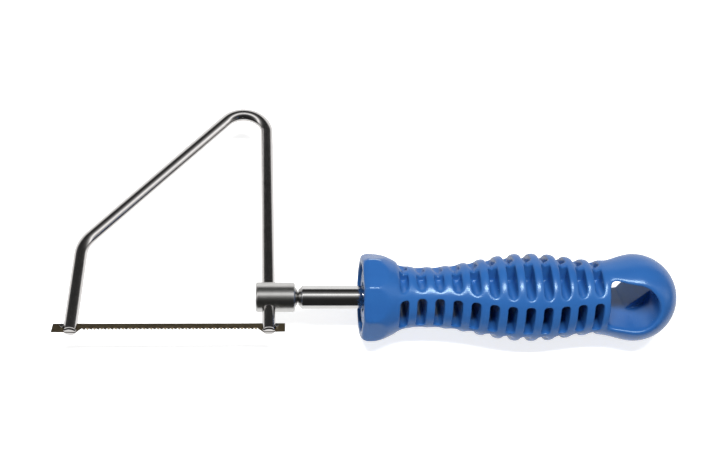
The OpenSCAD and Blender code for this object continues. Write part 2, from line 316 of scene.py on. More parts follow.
# %% [markdown]
# ## Metals
# All the metals have metallic 1 and the default IOR. The bow is drawn spring wire with a bright nickel plate:
# it mirrors the dark room, with faint cloudy patches. The blade is tempered strip, so it is brown and has
# grinding lines along it. Head and spindle are turned, which leaves rings round them. The pad is bare brass.

# %% Metal materials
def nickel_plate():
    material, tree, shader = new_material("nickel_plated_spring_wire", Metallic=1.0)
    tint(tree, shader, grain(tree, (9, 9, 9)), "#d2cfce", "#e2dfdd")
    gloss(tree, shader, grain(tree, (2.5, 2.5, 2.5), 4.0), 0.11, 0.22)
    # Polishing marks are about 0.05 mm apart; they are drawn 0.3 mm apart, so that they show
    relief(tree, shader, grain(tree, (0.3, 6, 0.3)), 0.004, 0.2)
    return material


def tempered_strip():
    material, tree, shader = new_material("tempered_strip", Metallic=1.0)
    tint(tree, shader, grain(tree, (14, 1.6, 3), 3.0), "#483f31", "#635a48")
    gloss(tree, shader, grain(tree, (5, 0.5, 1)), 0.3, 0.48)
    # Grinding lines run along the strip, 0.2 mm apart
    relief(tree, shader, grain(tree, (8, 0.2, 0.2)), 0.01, 0.7)
    return material


def turned_steel():
    material, tree, shader = new_material("turned_machine_steel", Metallic=1.0)
    tint(tree, shader, grain(tree, (3, 5, 5)), "#c9c8c6", "#dddcda")
    gloss(tree, shader, grain(tree, (0.5, 8, 8)), 0.26, 0.36)
    # The tool's feed marks are rings 0.2 mm apart; they are drawn 0.4 mm apart, so that they show
    relief(tree, shader, grain(tree, (0.4, 40, 40), 1.0), 0.002, 0.2)
    return material


def polished_steel():
    material, tree, shader = new_material("polished_machine_steel", Metallic=1.0)
    tint(tree, shader, grain(tree, (6, 6, 6)), "#d2d1d0", "#e2e1e0")
    gloss(tree, shader, grain(tree, (1.2, 10, 10), 3.0), 0.1, 0.16)
    # Polishing rings are about 0.05 mm apart; they are drawn 0.3 mm apart, so that they show
    relief(tree, shader, grain(tree, (0.3, 60, 60), 1.0), 0.001, 0.2)
    return material


def pin_steel():
    material, tree, shader = new_material("drawn_pin_steel", Metallic=1.0)
    tint(tree, shader, grain(tree, (1, 1, 1)), "#b4b4b3", "#d2d2d1")
    gloss(tree, shader, grain(tree, (0.3, 0.3, 2)), 0.18, 0.32)
    return material


def bare_brass():
    material, tree, shader = new_material("bare_brass", Metallic=1.0)
    tint(tree, shader, grain(tree, (1, 1, 1)), "#a8803c", "#d3ac63")
    gloss(tree, shader, grain(tree, (0.2, 2, 2)), 0.22, 0.4)
    return material


# %% [markdown]
# ## The handle's plastic
# The handle is injection moulded in a tough semi-matt plastic, such as polypropylene, with an IOR of 1.49.
# The mould was spark eroded, which leaves a fine even grain all over the outside. That grain breaks the
# lamp's reflection into a soft sheen, which takes a little of the pigment's blue, so the specular tint is
# pale cyan. A slow change in the colour stands for the flow of the melt.

# %% Blue plastic
# The pale line along the flange's corners is a painted highlight: where it runs along the handle, its half
# width and its least radius
HIGHLIGHT_FROM, HIGHLIGHT_TO, HIGHLIGHT_HALF, HIGHLIGHT_OUT = 40.8, 48.6, 0.22, 18.2
SHEEN_TINT = (0.7, 0.92, 1.0, 1.0)


def painted_corner_highlight(tree):
    """How much a painted highlight lightens the flange's corner lines on the bow's side, from 0 to 1."""
    place = add(tree, "ShaderNodeTexCoord").outputs["Object"]
    to_saw = {"Vector": place, "Location": tuple(-SAW_ORIGIN / MM), "Scale": (1 / MM, 1 / MM, 1 / MM)}
    centred = add(tree, "ShaderNodeMapping", to_saw)
    x, y, z = add(tree, "ShaderNodeSeparateXYZ", {0: centred.outputs[0]}).outputs
    bow_side = ("GREATER_THAN", y, 0.0)
    y, z = ("ABSOLUTE", y), ("ABSOLUTE", z)
    off_corner = ("ABSOLUTE", ("SUBTRACT", ("MAXIMUM", y, z), ("MULTIPLY", ("ADD", y, z), cos(radians(45)))))
    along = ("MULTIPLY", ("GREATER_THAN", x, HIGHLIGHT_FROM), ("LESS_THAN", x, HIGHLIGHT_TO))
    out = ("GREATER_THAN", ("SQRT", ("ADD", ("MULTIPLY", y, y), ("MULTIPLY", z, z))), HIGHLIGHT_OUT)
    line = add(tree, "ShaderNodeMapRange", {"Value": off_corner, "From Min": 0.0, "From Max": HIGHLIGHT_HALF,
                                            "To Min": 1.0, "To Max": 0.0})
    return ("MULTIPLY", ("MULTIPLY", line.outputs[0], bow_side), ("MULTIPLY", along, out))


def blue_plastic():
    material, tree, shader = new_material("moulded_polypropylene", IOR=1.49)
    shader.inputs["Specular Tint"].default_value = SHEEN_TINT
    flow = tint(tree, shader, grain(tree, (30, 9, 9), 3.0), "#27599c", "#2f66a9")
    gloss(tree, shader, grain(tree, (0.9, 0.9, 0.9), 3.0), 0.2, 0.3)
    # The eroded grain is 0.1 mm wide and is drawn 0.35 mm wide, so that it shows
    relief(tree, shader, grain(tree, (0.35, 0.35, 0.35), 1.0), 0.04, 0.8)
    # A pale painted highlight lies along the corner lines between the flange's flats, on the bow's side
    highlight_share = ("MULTIPLY", painted_corner_highlight(tree), ("ADD", 0.25, grain(tree, (0.5, 0.5, 0.5))))
    highlighted = add(tree, "ShaderNodeMix", {"Factor": highlight_share, "A": flow, "B": linear("#c4dcf2")}, data_type="RGBA")
    tree.links.new(highlighted.outputs[2], shader.inputs["Base Color"])
    return material


NICKEL, STRIP, TURNED, POLISHED = nickel_plate(), tempered_strip(), turned_steel(), polished_steel()
PINS, BRASS, PLASTIC = pin_steel(), bare_brass(), blue_plastic()
print("materials:", sorted(material.name for material in bpy.data.materials))

# %% [markdown]
# ## Growing a mesh from a node tree
# Four pieces follow a rule, so Geometry Nodes make them: the wire follows a path, the teeth and the thread
# repeat along a line and a helix, and the handle repeats its windows. Each tree has named inputs for its
# sizes, ends in real geometry, and is turned into a plain mesh before anything else touches it.

# %% Geometry Nodes helpers
def sized_tree(name, sizes):
    """A Geometry Nodes tree whose named inputs are the given sizes, and the sockets that carry them."""
    tree = bpy.data.node_groups.new(name, "GeometryNodeTree")
    tree.interface.new_socket("Geometry", in_out="OUTPUT", socket_type="NodeSocketGeometry")
    for label, value in sizes.items():
        kind = "NodeSocketInt" if isinstance(value, int) else "NodeSocketFloat"
        tree.interface.new_socket(label, in_out="INPUT", socket_type=kind).default_value = value
    entry = add(tree, "NodeGroupInput")
    return tree, {label: entry.outputs[label] for label in sizes}


def close_tree(tree, geometry, material):
    """Ends a tree in real geometry with its material."""
    real = add(tree, "GeometryNodeRealizeInstances", {0: geometry})
    painted = add(tree, "GeometryNodeSetMaterial", {"Geometry": real.outputs[0], "Material": material})
    add(tree, "NodeGroupOutput", {0: painted.outputs[0]})


def grow(tree, sizes):
    """Evaluates a tree with these sizes and returns the plain mesh, in saw millimetres."""
    carrier = bpy.data.objects.new(tree.name, bpy.data.meshes.new(tree.name))
    bpy.context.scene.collection.objects.link(carrier)
    modifier = carrier.modifiers.new("grow", "NODES")
    modifier.node_group = tree
    for item in tree.interface.items_tree:
        if item.in_out == "INPUT":
            modifier[item.identifier] = sizes[item.name]
    depsgraph = bpy.context.evaluated_depsgraph_get()
    mesh = bpy.data.meshes.new_from_object(carrier.evaluated_get(depsgraph))
    bpy.data.objects.remove(carrier)
    return mesh


SHARP_ANGLE = radians(32)


def show(name, meshes, material, body, slot, *replaced):
    """Joins saw-millimetre meshes into one piece, which rides on a body and stands for CAD nodes."""
    form = bmesh.new()
    for mesh in meshes:
        form.from_mesh(mesh)
    for face in form.faces:
        face.material_index = 0
    form.transform(TO_FRAME)
    joined = bpy.data.meshes.new(name)
    form.to_mesh(joined)
    form.free()
    joined.materials.append(material)
    joined.shade_smooth()
    joined.set_sharp_from_angle(angle=SHARP_ANGLE)
    piece = bpy.data.objects.new(name, joined)
    bpy.context.scene.collection.objects.link(piece)
    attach(piece, body)
    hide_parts(*replaced)
    print(name, "has", sum(len(face.vertices) - 2 for face in joined.polygons), "triangles")
    return piece


# %% [markdown]
# ## Turned parts
# A lathe makes the head, the spindle, the pins and the pad, so one function turns a profile round an axis.
# No real edge is knife sharp, and it is the small round on each edge that catches the lamp. The profile's
# corners are therefore rounded first. Two extra points beside each round keep the flat stretches flat when
# the shading is smoothed.

# %% Lathe
LATHE_SIDES = 72
ROUND_STEPS = 4
HOLD = 0.03
REACH_SHARE = 0.4
ON_AXIS = 1e-6
EDGE_ROUND = 0.15


def rounded(profile, radius):
    """Rounds the inner corners of a profile of (along, out) points."""
    points = [profile[0]]
    for before, corner, after in zip(profile, profile[1:], profile[2:]):
        before, corner, after = Vector(before), Vector(corner), Vector(after)
        way_in, way_out = before - corner, after - corner
        reach = min(radius, REACH_SHARE * way_in.length, REACH_SHARE * way_out.length)
        way_in.normalize()
        way_out.normalize()
        points.append(tuple(corner + way_in * (reach + HOLD)))
        for step in range(ROUND_STEPS + 1):
            t = step / ROUND_STEPS
            start, end = corner + way_in * reach, corner + way_out * reach
            points.append(tuple(start * (1 - t) ** 2 + corner * 2 * t * (1 - t) + end * t ** 2))
        points.append(tuple(corner + way_out * (reach + HOLD)))
    return points + [profile[-1]]


def lathe(profile, material, round_off=EDGE_ROUND, to_saw=Matrix()):
    """Turns a profile of (x, radius) points, whose ends lie on the X axis."""
    form = bmesh.new()
    rings = []
    for x, radius in rounded(profile, round_off):
        if radius < ON_AXIS:
            rings.append([form.verts.new((x, 0, 0))] * LATHE_SIDES)
        else:
            turns = [2 * pi * i / LATHE_SIDES for i in range(LATHE_SIDES)]
            rings.append([form.verts.new((x, radius * cos(turn), radius * sin(turn))) for turn in turns])
    for near, far in zip(rings, rings[1:]):
        for i in range(LATHE_SIDES):
            j = (i + 1) % LATHE_SIDES
            corners = list(dict.fromkeys([near[i], near[j], far[j], far[i]]))
            if len(corners) > 2:
                form.faces.new(corners)
    form.transform(to_saw)
    bmesh.ops.recalc_face_normals(form, faces=form.faces)
    mesh = bpy.data.meshes.new("turned")
    form.to_mesh(mesh)
    form.free()
    mesh.materials.append(material)
    return mesh


# %% [markdown]
# Slots and bores are cut with the exact Boolean solver. The tools are lathe shapes and plain boxes.

# %% Boxes and cuts
def block(x, y, z, material):
    """A box between two values on each axis."""
    form = bmesh.new()
    bmesh.ops.create_cube(form, size=1)
    size = Vector((x[1] - x[0], y[1] - y[0], z[1] - z[0]))
    middle = Vector((x[0] + x[1], y[0] + y[1], z[0] + z[1])) / 2
    form.transform(Matrix.Translation(middle) @ Matrix.Diagonal(size.to_4d()))
    mesh = bpy.data.meshes.new("block")
    form.to_mesh(mesh)
    form.free()
    mesh.materials.append(material)
    return mesh


def carve(mesh, tools):
    """Cuts tool meshes out of a mesh, whose faces are first turned outwards."""
    form = bmesh.new()
    form.from_mesh(mesh)
    bmesh.ops.recalc_face_normals(form, faces=form.faces)
    form.to_mesh(mesh)
    form.free()
    target = bpy.data.objects.new("target", mesh)
    bpy.context.scene.collection.objects.link(target)
    cutters = []
    for tool in tools:
        cutter = bpy.data.objects.new("cutter", tool)
        bpy.context.scene.collection.objects.link(cutter)
        cutters.append(cutter)
        modifier = target.modifiers.new("cut", "BOOLEAN")
        modifier.operation, modifier.solver, modifier.object = "DIFFERENCE", "EXACT", cutter
    depsgraph = bpy.context.evaluated_depsgraph_get()
    result = bpy.data.meshes.new_from_object(target.evaluated_get(depsgraph))
    for thing in cutters + [target]:
        bpy.data.objects.remove(thing)
    return result


# %% [markdown]
# ## The bow
# The bow is one length of spring wire with two bends. In Blender it is a path of four points, whose corners
# Fillet Curve rounds with the radius of each bend, swept with a circle. The ends are tumbled round, and a
# bevel on the edge of each end face gives that.

# %% Sweep the wire
WIRE_R = 2.75
FOOT_Y = -17.0
FRONT_FOOT, LOW_CORNER, TOP_CORNER, REAR_FOOT = (-80.0, FOOT_Y), (-78.4, 27.0), (0.0, 119.6), (0.0, FOOT_Y)
BOW = {"Wire radius": WIRE_R, "Low bend": 15.0, "Top bend": 10.5, "Step": 1.1, "Sides": 56, "Bend steps": 40}
END_ROUND, END_STEPS = 0.9, 5


def bow_tree():
    tree, size = sized_tree("bow_path", BOW)
    dots = add(tree, "GeometryNodeMeshLine", {"Count": 4})
    index = add(tree, "GeometryNodeInputIndex").outputs[0]
    place = add(tree, "GeometryNodeIndexSwitch", data_type="VECTOR")
    bend = add(tree, "GeometryNodeIndexSwitch", data_type="FLOAT")
    for switch in (place, bend):
        for _ in range(2):
            switch.index_switch_items.new()
        tree.links.new(index, switch.inputs[0])
    for i, (x, y) in enumerate((FRONT_FOOT, LOW_CORNER, TOP_CORNER, REAR_FOOT)):
        place.inputs[i + 1].default_value = (x, y, 0)
    tree.links.new(size["Low bend"], bend.inputs[2])
    tree.links.new(size["Top bend"], bend.inputs[3])
    path = add(tree, "GeometryNodeSetPosition", {"Geometry": dots.outputs[0], "Position": place.outputs[0]})
    wire = add(tree, "GeometryNodeMeshToCurve", {0: path.outputs[0]})
    bent = add(tree, "GeometryNodeFilletCurve", {
        "Curve": wire.outputs[0], "Radius": bend.outputs[0], "Count": size["Bend steps"],
        "Limit Radius": True}, mode="POLY")
    even = add(tree, "GeometryNodeResampleCurve", {"Curve": bent.outputs[0], "Length": size["Step"]},
               mode="LENGTH")
    ring = add(tree, "GeometryNodeCurvePrimitiveCircle", {
        "Resolution": size["Sides"], "Radius": size["Wire radius"]})
    skin = add(tree, "GeometryNodeCurveToMesh", {"Curve": even.outputs[0], "Profile Curve": ring.outputs[0],
                                                 "Fill Caps": True})
    close_tree(tree, skin.outputs[0], NICKEL)
    return tree


def round_ends(mesh):
    """Rounds the edge of the two end faces, which alone have as many corners as the wire has sides."""
    form = bmesh.new()
    form.from_mesh(mesh)
    ends = {edge for face in form.faces if len(face.verts) == BOW["Sides"] for edge in face.edges}
    bmesh.ops.bevel(form, geom=list(ends), offset=END_ROUND, segments=END_STEPS, profile=0.5, affect="EDGES")
    form.to_mesh(mesh)
    form.free()


bow_mesh = grow(bow_tree(), BOW)
round_ends(bow_mesh)
print("wire rings:", len(bow_mesh.vertices) // BOW["Sides"])

# %% [markdown]
# The two leg ends are sawn across to take the blade, and a round notch on each leg's outer side seats its
# pin. These are cut with Boolean tools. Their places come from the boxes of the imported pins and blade.

# %% Slots and pin seats in the legs
def saw_box(node):
    """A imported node's lowest and highest corners, in saw millimetres."""
    to_saw = TO_FRAME.inverted()
    return [to_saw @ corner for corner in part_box(node)]


SLOT_HALF, SLOT_OVER = 0.37, 0.12
NOTCH_R = 0.92
CUT = 1.0
X_TO_Z = Matrix.Rotation(radians(-90), 4, "Y")
X_TO_Y = Matrix.Rotation(radians(90), 4, "Z")
blade_low, blade_high = saw_box("blade")
pin_places = {node: sum(saw_box(node), Vector()) / 2 for node in ("front_blade_pin", "rear_blade_pin")}


def leg_tools():
    past = WIRE_R + CUT
    for foot_x, foot_y in (FRONT_FOOT, REAR_FOOT):
        yield block((foot_x - past, foot_x + past), (foot_y - CUT, blade_high.y + SLOT_OVER),
                    (-SLOT_HALF, SLOT_HALF), NICKEL)
    for place in pin_places.values():
        yield lathe([(-WIRE_R, 0), (-WIRE_R, NOTCH_R), (WIRE_R, NOTCH_R), (WIRE_R, 0)], NICKEL, 0,
                    Matrix.Translation(place) @ X_TO_Z)


show("wire_bow", [carve(bow_mesh, leg_tools())], NICKEL, "bow_frame", "plated_wire", "bow")

# %% [markdown]
# ## The blade
# A blade like this is a thin strip with some fifty teeth, bent left and right in turn so that the cut is
# wider than the strip. One tooth is a cube whose lower end is drawn together. Geometry Nodes puts a copy at
# every pitch, and each copy leans about the gullet line, one way for an even index and the other for an odd.

# %% Teeth along the strip
BLADE_HALF, BLADE_BEVEL, BLADE_RAMP, BLADE_SLANT = 0.25, 0.04, 2.2, 0.5
TEETH = {"Pitch": 1.41, "Depth": 0.75, "Teeth": 50, "Lean": 0.2, "Rake share": 0.65, "Tip share": 0.12,
         "Thickness": 2 * BLADE_HALF, "Start": -75.25, "Gullet": -15.03}


def teeth_tree():
    tree, size = sized_tree("set_teeth", TEETH)
    cube = add(tree, "GeometryNodeMeshCube", {"Size": (1, 1, 1)})
    at = add(tree, "ShaderNodeSeparateXYZ", {0: add(tree, "GeometryNodeInputPosition").outputs[0]})
    along, down = ("ADD", at.outputs[0], 0.5), ("SUBTRACT", 0.5, at.outputs[1])
    base_x = ("MULTIPLY", along, ("SUBTRACT", 1.0, down))
    tip_x = ("MULTIPLY", down, ("ADD", size["Rake share"], ("MULTIPLY", along, size["Tip share"])))
    drawn = add(tree, "ShaderNodeCombineXYZ", {
        0: ("MULTIPLY", size["Pitch"], ("ADD", base_x, tip_x)),
        1: ("MULTIPLY", size["Depth"], ("MULTIPLY", down, -1.0)),
        2: ("MULTIPLY", at.outputs[2], size["Thickness"])})
    tooth = add(tree, "GeometryNodeSetPosition", {"Geometry": cube.outputs[0], "Position": drawn.outputs[0]})
    start = add(tree, "ShaderNodeCombineXYZ", {0: size["Start"], 1: size["Gullet"]})
    step = add(tree, "ShaderNodeCombineXYZ", {0: size["Pitch"]})
    row = add(tree, "GeometryNodeMeshLine", {"Count": size["Teeth"], "Start Location": start.outputs[0],
                                             "Offset": step.outputs[0]})
    odd = ("MODULO", add(tree, "GeometryNodeInputIndex").outputs[0], 2.0)
    side = ("SUBTRACT", ("MULTIPLY", odd, 2.0), 1.0)
    lean = add(tree, "ShaderNodeCombineXYZ", {0: ("MULTIPLY", size["Lean"], side)})
    copies = add(tree, "GeometryNodeInstanceOnPoints", {
        "Points": row.outputs[0], "Instance": tooth.outputs[0], "Rotation": lean.outputs[0]})
    close_tree(tree, copies.outputs[0], STRIP)
    return tree


# %% [markdown]
# The strip behind the teeth is one outline, given its thickness. It is cut back along the toothed stretch,
# so that the tips of the teeth stay behind the lower edge of the blade's two ends.

# %% The strip behind the teeth
def strip():
    """The blade without its teeth."""
    first, last = TEETH["Start"], TEETH["Start"] + TEETH["Teeth"] * TEETH["Pitch"]
    outline = [(blade_low.x + BLADE_SLANT, blade_high.y), (blade_low.x, blade_low.y),
               (first - BLADE_RAMP, blade_low.y), (first, TEETH["Gullet"]),
               (last, TEETH["Gullet"]), (last + BLADE_RAMP, blade_low.y),
               (blade_high.x, blade_low.y), (blade_high.x, blade_high.y)]
    form = bmesh.new()
    face = form.faces.new([form.verts.new((x, y, -BLADE_HALF)) for x, y in outline])
    raised = bmesh.ops.extrude_face_region(form, geom=[face])["geom"]
    top = [item for item in raised if isinstance(item, bmesh.types.BMVert)]
    bmesh.ops.translate(form, vec=(0, 0, 2 * BLADE_HALF), verts=top)
    bmesh.ops.recalc_face_normals(form, faces=form.faces)
    bmesh.ops.bevel(form, geom=form.edges, offset=BLADE_BEVEL, segments=2, affect="EDGES")
    mesh = bpy.data.meshes.new("strip")
    form.to_mesh(mesh)
    form.free()
    mesh.materials.append(STRIP)
    return mesh


show("toothed_blade", [strip(), grow(teeth_tree(), TEETH)], STRIP, "bow_frame", "blade_steel", "blade")

# %% [markdown]
# The blade hangs by two short pins, pressed through its ends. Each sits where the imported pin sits.

# %% The cross pins
PIN_R, PIN_HALF = 0.8, 2.2
for node, place in pin_places.items():
    pin = lathe([(-PIN_HALF, 0), (-PIN_HALF, PIN_R), (PIN_HALF, PIN_R), (PIN_HALF, 0)], PINS, EDGE_ROUND,
                Matrix.Translation(place) @ X_TO_Z)
    show(node.replace("blade_pin", "cross_pin"), [pin], PINS, "bow_frame", "pin_steel", node)

# %% [markdown]
# ## The clamp head
# The head is a short turned cylinder with a cross bore for the bow's leg and a threaded hole for the spindle.
# It ends behind in a short cone, and the bore's mouths are opened out, which shows as a dark gap round the
# leg. All of it is one lathe shape with two more lathe shapes cut out.

# %% Head and pad
HEAD_R, HEAD_REAR, HEAD_CHAMFER = 6.2, 10.9, 0.6
NOSE_R, NOSE_TIP_R, NOSE_END = 4.6, 2.95, 12.0
BORE_R, MOUTH_R, MOUTH_IN, MOUTH_TOP = 2.85, 3.35, 3.0, 7.2
THREAD_HOLE_R = 2.55
HEAD_EDGE = 0.2
head = lathe([(-HEAD_FRONT, 0), (-HEAD_FRONT, HEAD_R - HEAD_CHAMFER), (-HEAD_FRONT + HEAD_CHAMFER, HEAD_R),
              (HEAD_REAR - HEAD_CHAMFER, HEAD_R), (HEAD_REAR, HEAD_R - HEAD_CHAMFER), (HEAD_REAR, NOSE_R),
              (NOSE_END, NOSE_TIP_R), (NOSE_END, 0)], TURNED, HEAD_EDGE)
mouth_seat = MOUTH_IN + MOUTH_R - BORE_R
cross_bore = lathe([(-MOUTH_TOP, 0), (-MOUTH_TOP, MOUTH_R), (-mouth_seat, MOUTH_R), (-MOUTH_IN, BORE_R),
                    (MOUTH_IN, BORE_R), (mouth_seat, MOUTH_R), (MOUTH_TOP, MOUTH_R), (MOUTH_TOP, 0)],
                   TURNED, 0, X_TO_Y)
thread_hole = lathe([(0, 0), (0, THREAD_HOLE_R), (NOSE_END + CUT, THREAD_HOLE_R), (NOSE_END + CUT, 0)],
                    TURNED, 0)
show("turned_head", [carve(head, [cross_bore, thread_hole])], TURNED, "head", "turned_steel", "clamp_head")

pad_low, pad_high = saw_box("pressure_pad")
pad = lathe([(pad_low.x, 0), (pad_low.x, pad_high.z), (pad_high.x, pad_high.z), (pad_high.x, 0)], BRASS)
show("clamp_pad", [pad], BRASS, "pad", "pad_brass", "pressure_pad")

# %% [markdown]
# ## The spindle
# The spindle is turned from one bar: a threaded stem, a polished shank and the tang inside the plastic. The
# thread is a real helix. Geometry Nodes has a Spiral curve, and a small four-cornered profile swept along it
# stands half out of the stem as the thread's ridge.

# %% Thread, shank and tang
THREAD = {"Pitch": 0.8, "Turns": 9.9, "Ridge": 0.27, "Centre radius": 2.23, "Start": 4.25, "Steps": 48}
CORE_R, SHANK_R, NECK_X = 2.26, 4.9, 12.3
SHANK_CHAMFER, SHANK_EDGE = 1.6, 0.25
SOCKET_DEPTH = 6.0
SOCKET_X = saw_box("handle")[0].x + SOCKET_DEPTH
TANG_R, TANG_CORE_R, TANG_GROOVE = 4.0, 3.0, 2.4
spindle_low, spindle_high = saw_box("spindle")


def thread_tree():
    tree, size = sized_tree("screw_thread", THREAD)
    helix = add(tree, "GeometryNodeCurveSpiral", {
        "Resolution": size["Steps"], "Rotations": size["Turns"], "Start Radius": size["Centre radius"],
        "End Radius": size["Centre radius"], "Height": ("MULTIPLY", size["Turns"], size["Pitch"])})
    ridge = add(tree, "GeometryNodeCurvePrimitiveCircle", {"Resolution": 4, "Radius": size["Ridge"]})
    skin = add(tree, "GeometryNodeCurveToMesh", {"Curve": helix.outputs[0], "Profile Curve": ridge.outputs[0],
                                                 "Fill Caps": True})
    start = add(tree, "ShaderNodeCombineXYZ", {0: size["Start"]})
    laid = add(tree, "GeometryNodeTransform", {"Geometry": skin.outputs[0], "Translation": start.outputs[0],
                                               "Rotation": (0, pi / 2, 0)})
    close_tree(tree, laid.outputs[0], POLISHED)
    return tree


half_tang = (spindle_high.x - SOCKET_X - TANG_GROOVE) / 2
groove = (SOCKET_X + half_tang, spindle_high.x - half_tang)
bar = [(spindle_low.x, 0), (spindle_low.x, CORE_R), (NECK_X, CORE_R), (NECK_X, SHANK_R - SHANK_CHAMFER),
       (NECK_X + SHANK_CHAMFER, SHANK_R), (SOCKET_X, SHANK_R), (SOCKET_X, TANG_R), (groove[0], TANG_R),
       (groove[0], TANG_CORE_R), (groove[1], TANG_CORE_R), (groove[1], TANG_R), (spindle_high.x, TANG_R),
       (spindle_high.x, 0)]
shank = lathe(bar, POLISHED, SHANK_EDGE)
show("polished_spindle", [shank, grow(thread_tree(), THREAD)], POLISHED, "grip", "polished_steel", "spindle")

# %% [markdown]
# ## The handle as a distance field
# The real handle is one moulding with soft edges everywhere. Cutting windows in a mesh leaves hard edges, so
# it is described as a field instead: for every point in space, how far it is outside the plastic. Turned
# body, octagon flange, windows and eye are each one short formula, and a smooth maximum joins them with a
# fillet. The window formula repeats by itself, because it only reads the distance to the nearest window.

# %% The handle's sizes
HANDLE = {
    "Voxel": 0.42, "Rim": 38.3, "Length": 135.3,
    "Flange radius": 18.8, "Flange flat": 17.5, "Waist radius": 12.75, "Palm radius": 18.6,
    "Neck radius": 15.85, "Ball radius": 18.6,
    "Windows": 12, "Pitch": 7.4, "Window width": 3.8, "First window": 17.1, "Window corner": 1.4,
    "Web gap": 12.9, "Web thickness": 2.85, "Plate": 3.0,
    "Eye front": 103.5, "Eye length": 20.5, "Eye width": 19.0, "Eye offset": 3.7,
    "Boss radius": 11.0, "Recess radius": 14.3, "Recess depth": 8.0, "Boss drop": 1.0,
    "Bore radius": 6.3, "Bore depth": SOCKET_DEPTH,
    "Lip": 0.9, "Eye lip": 3.6, "Rib crown": 0.4,
}
HANDLE_REACH, FIELD_MARGIN, SETTLE_SHARE, SETTLE_STEPS = 19.6, 1.0, 0.8, 2
MOULD_TURN = radians(69)
RIM_FALL, RIM_ROUND, FLAT_EASE, FLAT_END, FLAT_RUN_OUT = 0.9, 2.6, 0.03, 14.0, 2.0
CROWN_INSIDE, CROWN_OUTSIDE = 1.0, 2.5
RIM_BLEND, FLAT_BLEND, PLATE_BLEND, FRONT_BLEND = 5.0, 0.7, 1.6, 0.9
EYE_FRONT_BLEND, EYE_FILL_BLEND = 5.0, 0.6
WAVE_ENDS = [(4.2, 22.5, "Flange radius", "Waist radius"), (28, 70, "Waist radius", "Palm radius"),
             (73.5, 101, "Palm radius", "Neck radius"), (101, 116.7, "Neck radius", "Ball radius")]
print("handle sizes:", len(HANDLE))

# %% [markdown]
# Every formula reads the same few places of a point: `x` from the rim back, `y` and `z` across, `r` off the
# axis, `m` and `n` across in the mould's own turn, and `u` along the handle from the nearest window.

# %% Formulas and places
def field(tree, *formula):
    """A formula made into Math nodes; returns the socket with its value."""
    return add(tree, "ShaderNodeMath", dict(enumerate(formula[1:])), operation=formula[0]).outputs[0]


def soft_max(tree, a, b, width):
    return field(tree, "SMOOTH_MAX", a, b, width)


def cut_out(tree, body, hollow, width):
    """A body less a hollow, with their edge rounded over this width."""
    return soft_max(tree, body, field(tree, "MULTIPLY", hollow, -1.0), width)


def length(tree, a, b):
    return field(tree, "SQRT", ("ADD", ("MULTIPLY", a, a), ("MULTIPLY", b, b)))


def handle_places(tree, size):
    """The places of a point in the handle that the formulas read."""
    place = add(tree, "ShaderNodeSeparateXYZ", {0: add(tree, "GeometryNodeInputPosition").outputs[0]})
    y, z = place.outputs[1], place.outputs[2]
    x = field(tree, "SUBTRACT", place.outputs[0], size["Rim"])
    m = field(tree, "ADD", ("MULTIPLY", y, cos(MOULD_TURN)), ("MULTIPLY", z, sin(MOULD_TURN)))
    n = field(tree, "SUBTRACT", ("MULTIPLY", z, cos(MOULD_TURN)), ("MULTIPLY", y, sin(MOULD_TURN)))
    from_first = field(tree, "SUBTRACT", x, size["First window"])
    nearest = field(tree, "ROUND", ("DIVIDE", from_first, size["Pitch"]))
    nearest = field(tree, "MINIMUM", ("MAXIMUM", nearest, 0.0), ("SUBTRACT", size["Windows"], 1.0))
    u = field(tree, "SUBTRACT", from_first, ("MULTIPLY", nearest, size["Pitch"]))
    return SimpleNamespace(x=x, y=y, z=z, r=length(tree, y, z), m=m, n=n, u=u,
                           half_window=field(tree, "MULTIPLY", size["Window width"], 0.5),
                           half_gap=field(tree, "MULTIPLY", size["Web gap"], 0.5))


# %% [markdown]
# The turned body is a wave between each two stations and a sphere at the end. Between the windows each rib is
# crowned outside the webs, which is where the lamp's small bright spots sit. The flange is cut by eight
# flats, which ease towards the rim and run out behind.

# %% Body, ribs and flange
def turned_body(tree, size, at):
    radius = size["Flange radius"]
    for start, end, before, after in WAVE_ENDS:
        wave = add(tree, "ShaderNodeMapRange", {
            "Value": at.x, "From Min": start, "From Max": end, "To Min": 0.0,
            "To Max": ("SUBTRACT", size[after], size[before])}, interpolation_type="SMOOTHSTEP")
        radius = field(tree, "ADD", radius, wave.outputs[0])
    past_ball = field(tree, "MAXIMUM", ("ADD", ("SUBTRACT", at.x, size["Length"]), size["Ball radius"]), 0.0)
    return field(tree, "SUBTRACT", length(tree, at.r, past_ball), radius)


def rib_crown(tree, size, at):
    """How far a rib falls away from its middle line."""
    half_pitch = field(tree, "MULTIPLY", size["Pitch"], 0.5)
    off_middle = field(tree, "DIVIDE", ("MAXIMUM", ("SUBTRACT", half_pitch, ("ABSOLUTE", at.u)), 0.0),
                       ("SUBTRACT", half_pitch, at.half_window))
    web_out = field(tree, "ADD", at.half_gap, size["Web thickness"])
    crown = add(tree, "ShaderNodeMapRange", {
        "Value": ("ABSOLUTE", at.m), "From Min": ("SUBTRACT", web_out, CROWN_INSIDE),
        "From Max": ("ADD", web_out, CROWN_OUTSIDE), "To Max": size["Rib crown"]},
        interpolation_type="SMOOTHSTEP")
    return ("MULTIPLY", crown.outputs[0], ("MULTIPLY", off_middle, off_middle))


def flange_flats(tree, size, at):
    y_away, z_away = field(tree, "ABSOLUTE", at.y), field(tree, "ABSOLUTE", at.z)
    corner = ("MULTIPLY", ("ADD", y_away, z_away), cos(radians(45)))
    flats = ("SUBTRACT", ("MAXIMUM", ("MAXIMUM", y_away, z_away), corner), size["Flange flat"])
    fall = ("MULTIPLY", RIM_FALL / RIM_ROUND, ("MAXIMUM", ("SUBTRACT", RIM_ROUND, at.x), 0.0))
    ease = ("MULTIPLY", FLAT_EASE, ("MAXIMUM", ("SUBTRACT", at.x, RIM_ROUND), 0.0))
    run_out = ("MULTIPLY", ("MAXIMUM", ("SUBTRACT", at.x, FLAT_END), 0.0), FLAT_RUN_OUT)
    return field(tree, "SUBTRACT", ("ADD", flats, ("ADD", fall, ease)), run_out)


